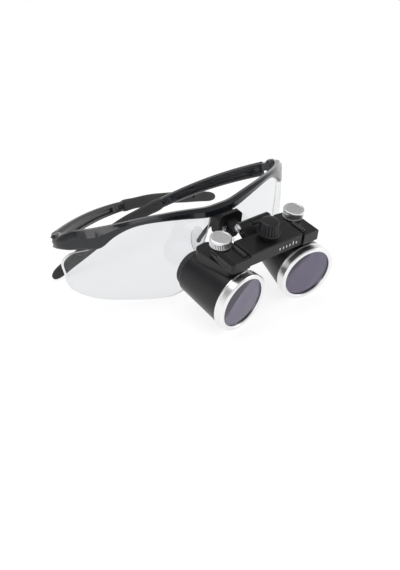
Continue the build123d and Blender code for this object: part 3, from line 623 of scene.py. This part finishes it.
# Rail, washer, bracket, holder blocks and saddles: the same blasted black aluminium, milled,
# with their edges broken; the small clamp rods are black steel.
blasted_black, tree, principled = grained("blasted_black", (0.01, 0.01, 0.011), 0.33, grain=3200)
principled.inputs["Specular IOR Level"].default_value = anodised_gloss
black_steel = grained("black_steel", (0.03, 0.03, 0.032), 0.28, grain=2400, metallic=0.6)[0]
milled = {"slide_rail": 0.1, "knob_washer": 0.06, "mount_bracket": 0.2}
for name in sides:
    milled["holder_block_" + name] = 0.2
    milled["saddle_" + name] = 0.2
for node, rounding in milled.items():
    dress(node, joined_copy(node), [blasted_black], rounding)
for name in sides:
    dress("clamp_gib_" + name, joined_copy("clamp_gib_" + name), [black_steel])

# Small screws and pins: the flip pin, which runs through the knuckles, and the screws that
# hold the bracket to the bridge are polished steel; the pins of the temples are blackened.
polished_steel = grained("polished_steel", (0.62, 0.62, 0.64), 0.2, grain=900, metallic=1.0)[0]
small_steel = {"flip_pin": polished_steel}
for name in sides:
    small_steel["bracket_screw_" + name] = polished_steel
    small_steel["temple_pin_" + name] = black_steel
for node, finish in small_steel.items():
    dress(node, joined_copy(node), [finish], rounding=0.06)

# Brow bar: the front of the spectacles, moulded from glossy bluish-black nylon, with a
# ridge along it and rounded edges.
gloss_nylon, tree, principled = grained(
    "gloss_nylon", (0.009, 0.01, 0.014), 0.22, grain=500, depth=0.000008
)
principled.inputs["Specular IOR Level"].default_value = 0.35
principled.inputs["Coat Weight"].default_value = 0.4
principled.inputs["Coat Roughness"].default_value = 0.08
dress("brow_bar", joined_copy("brow_bar", curved=True), [gloss_nylon], rounding=0.25, sharp=24)

# Spectacle lenses: clear polycarbonate on a spherical curve, open below, with their edge
# painted white as a painted highlight for the light it catches.
base_curve = 86.7
lens_front_radius = base_curve - 0.8
lens_thickness = 1.6
lens_middle = np.array((40.0, -17.0))
lens_rings = 28
lens_edge_bulge = 0.12
spherical_limit = 0.9
lens_corners = [
    (6.4, -1.2),
    (18, 1.4),
    (36, 3.8),
    (46, 2.9),
    (54, -1.4),
    (60, -5.6),
    (67, -7.4),
    (69.3, -10.5),
    (69.0, -17.7),
    (66.4, -27.5),
    (60, -32.4),
    (46.5, -36.2),
    (35, -38.4),
    (25.5, -39.1),
    (20.3, -36.9),
    (15.8, -27.0),
    (12.0, -15.5),
    (8.6, -8.3),
]
hinge_back = 42.0
hinge_drop = 1.2
hinge_middle = sum(np.array(joints["temple_fold_" + name]["pos_m"]) for name in sides) / 2
hinge_axes = [-side * np.array(joints["temple_fold_" + name]["axis"]) for name, side in sides.items()]
front_up = unit((0, 1, 1) * sum(hinge_axes))
front_back = np.cross(front_up, (1, 0, 0))
curve_centre = hinge_middle + mm * ((base_curve - hinge_back) * front_back + hinge_drop * front_up)


def smooth_loop(corners, count=240):
    """Closed curve through the corners, evenly spaced by chord length.

    Between two corners it is a cubic whose slope at each is the mean of the slopes of the
    two chords there, each weighted by the length of the other.
    """
    corners = np.array(corners, dtype=float)
    chord = np.roll(corners, -1, axis=0) - corners
    length = np.linalg.norm(chord, axis=1)
    slope = chord / length[:, None]
    before, slope_before = np.roll(length, 1)[:, None], np.roll(slope, 1, axis=0)
    bend = (slope * before + slope_before * length[:, None]) / (before + length[:, None])
    place = np.arange(count) * length.sum() / count
    start = np.concatenate([[0], np.cumsum(length)])
    piece = np.searchsorted(start, place, side="right") - 1
    share = ((place - start[piece]) / length[piece])[:, None]
    onward = (piece + 1) % len(corners)
    reach = length[piece][:, None]
    return (
        (1 + 2 * share) * (1 - share) ** 2 * corners[piece]
        + share * (1 - share) ** 2 * reach * bend[piece]
        + share**2 * (3 - 2 * share) * corners[onward]
        - share**2 * (1 - share) * reach * bend[onward]
    )


def lens_shell(side):
    """A lens: its outline, shrunk ring by ring to its middle, laid on two concentric spheres.

    A point at (x, height) lies sqrt(radius squared - x squared - height squared) in front
    of the centre of the curve; between the faces the edge bulges by a half sine.
    """
    loop = smooth_loop(lens_corners)
    from_middle = loop - lens_middle
    share = np.linspace(0, 1, lens_rings)[:, None, None]
    face = lens_middle + share * from_middle
    edge_share = np.array([0.25, 0.5, 0.75])[:, None]
    outward = from_middle / np.linalg.norm(from_middle, axis=1, keepdims=True)
    bulge = lens_edge_bulge * np.sin(pi * edge_share)[..., None] * outward
    flat = np.concatenate([face, loop + bulge, face[::-1]])
    in_front, behind = np.zeros((lens_rings, 1)), np.ones((lens_rings, 1))
    depth = lens_thickness * np.concatenate([in_front, edge_share, behind])
    across, height = side * flat[..., 0], flat[..., 1]
    ahead = np.sqrt((lens_front_radius - depth) ** 2 - across**2 - height**2)
    axes = np.array([(1, 0, 0), front_up, -front_back])
    points = np.stack([across, height, ahead], axis=-1) @ axes
    return grid_mesh("lens", curve_centre + mm * points, looped=False)


def on_sphere(mesh, centre):
    """Normals of a lens: from or towards the centre on its two faces, as they are on its edge.

    A face belongs to a spherical side where the cosine between its normal and the line to
    the centre is over the limit; those faces get the first material and the edge the second.
    """
    normals = np.empty(3 * len(mesh.loops))
    mesh.corner_normals.foreach_get("vector", normals)
    normals = normals.reshape(-1, 3)
    flat = np.array([face.normal for face in mesh.polygons])
    middle = np.array([face.center for face in mesh.polygons])
    radial = (middle - centre) / np.linalg.norm(middle - centre, axis=1, keepdims=True)
    facing = np.sum(flat * radial, axis=1)
    sides_of_faces = np.where(np.abs(facing) > spherical_limit, np.sign(facing), 0)
    face_of_loop = np.repeat(np.arange(len(mesh.polygons)), [face.loop_total for face in mesh.polygons])
    corner = np.array([mesh.vertices[loop.vertex_index].co for loop in mesh.loops]) - centre
    corner /= np.linalg.norm(corner, axis=1, keepdims=True)
    side = sides_of_faces[face_of_loop][:, None]
    mesh.normals_split_custom_set(np.where(side == 0, normals, side * corner).tolist())
    mesh.polygons.foreach_set("material_index", (sides_of_faces == 0).astype(np.int32))
    mesh.update()


clear_lens, tree, principled = new_finish("clear_lens", (0.8, 0.81, 0.82), 0.015)
principled.inputs["Transmission Weight"].default_value = 1.0
principled.inputs["IOR"].default_value = 1.4
smear = shader_node(tree, "TexNoise", Vector=own_place(tree), Scale=45.0, Detail=3.0)
tree.links.new(spread(tree, smear.outputs["Fac"], 0.01, 0.04), principled.inputs["Roughness"])
# The edge is an opaque near white: a painted highlight standing in for the light a clear edge catches.
lens_edge, tree, principled = new_finish("lens_edge", (0.95, 0.95, 0.96), 0.25)
edge_roughness_noise = shader_node(tree, "TexNoise", Vector=own_place(tree), Scale=900.0, Detail=3.0)
tree.links.new(spread(tree, edge_roughness_noise.outputs["Fac"], 0.18, 0.35), principled.inputs["Roughness"])
for name, side in sides.items():
    piece = dress("lens_" + name, lens_shell(side), [clear_lens, lens_edge])
    on_sphere(piece.data, curve_centre)

# Nose bridge: a matt black moulding between the lenses, whose two thin legs carry pads of
# clear silicone.
matt_nylon = grained("matt_nylon", (0.012, 0.012, 0.013), 0.45)[0]
dress("nose_bridge", joined_copy("nose_bridge"), [matt_nylon], rounding=0.25)
clear_silicone, tree, principled = grained("clear_silicone", (0.93, 0.94, 0.95), 0.2)
principled.inputs["Transmission Weight"].default_value = 0.9
principled.inputs["IOR"].default_value = 1.12
for name in sides:
    dress("nose_pad_" + name, joined_copy("nose_pad_" + name, curved=True), [clear_silicone])

# Temples: glossy nylon arms with a channel along them, matt rubber sleeves pushed on to
# their ends, and a small black rivet where the two meet.
gloss_arm, tree, principled = grained("gloss_arm", (0.01, 0.011, 0.015), 0.2, grain=500, depth=0.000008)
principled.inputs["Specular IOR Level"].default_value = 0.4
principled.inputs["Coat Weight"].default_value = 0.6
principled.inputs["Coat Roughness"].default_value = 0.06
for name in sides:
    mesh = joined_copy("temple_arm_" + name, curved=True)
    dress("temple_arm_" + name, mesh, [gloss_arm], rounding=0.2)
    mesh = joined_copy("temple_sleeve_" + name, curved=True)
    dress("temple_sleeve_" + name, mesh, [soft_rubber], rounding=0.15)
    dress("temple_rivet_" + name, joined_copy("temple_rivet_" + name), [black_steel], rounding=0.06)
